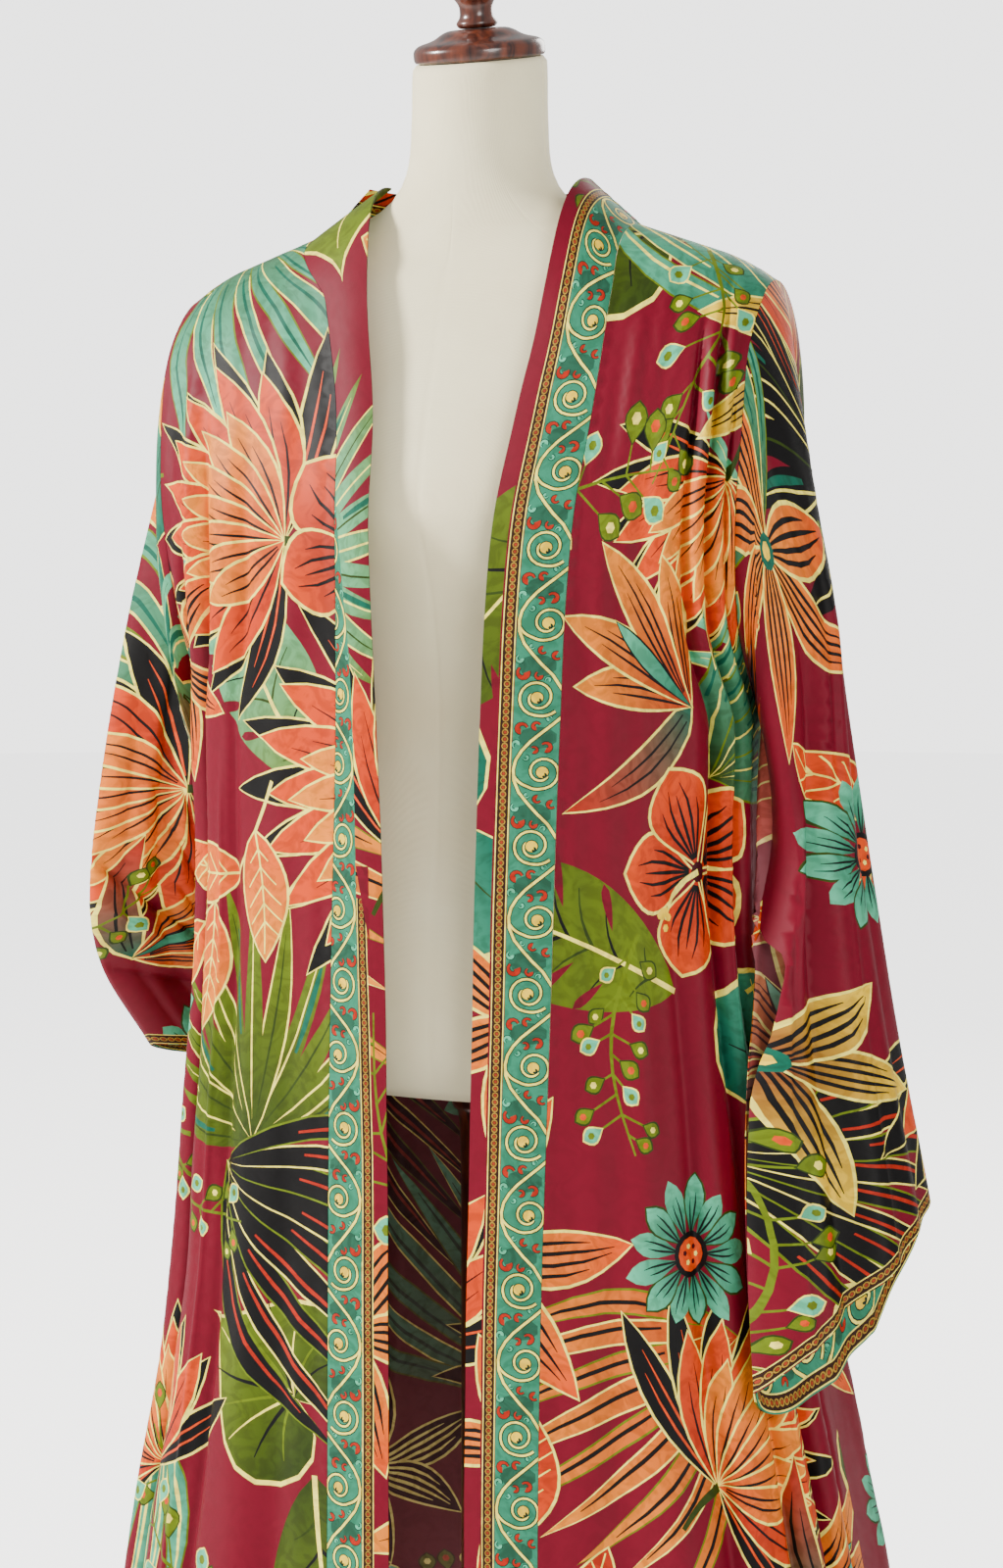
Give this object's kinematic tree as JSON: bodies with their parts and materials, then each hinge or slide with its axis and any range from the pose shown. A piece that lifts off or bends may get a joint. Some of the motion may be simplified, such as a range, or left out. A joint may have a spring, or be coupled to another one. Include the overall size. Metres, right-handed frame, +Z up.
{
  "type": "kimono duster on dress form",
  "caption": "Ankle-length open-front kimono duster with a continuous neck band and wide hanging sleeves, worn by a limbless dress form on a round stand.",
  "frame": {"origin": "centre of the stand's flat underside, on the floor", "axes": "+Z up; the wearer faces -Y; +X is the wearer's left"},
  "size_m": [0.7616, 0.4295, 1.6645],
  "materials": {
    "silk_print": "soft silk crepe, burgundy ground with a large tropical print",
    "silk_border": "the same silk, printed with a running scroll border and a chain border",
    "form_cover": "cream linen, stretched smooth",
    "dark_wood": "polished mahogany-coloured turned wood"
  },
  "bodies": {
    "root": {"back_panel": "silk_print", "front_left": "silk_print", "front_right": "silk_print", "sleeve_left": "silk_print", "sleeve_right": "silk_print", "band_left": "silk_border", "band_right": "silk_border", "band_neck": "silk_border", "cuff_facing_left": "silk_border", "cuff_facing_right": "silk_border", "form_torso": "form_cover", "form_neck_cap": "dark_wood", "form_finial": "dark_wood", "stand_pole": "dark_wood", "stand_base": "dark_wood"}
  },
  "joints": []
}
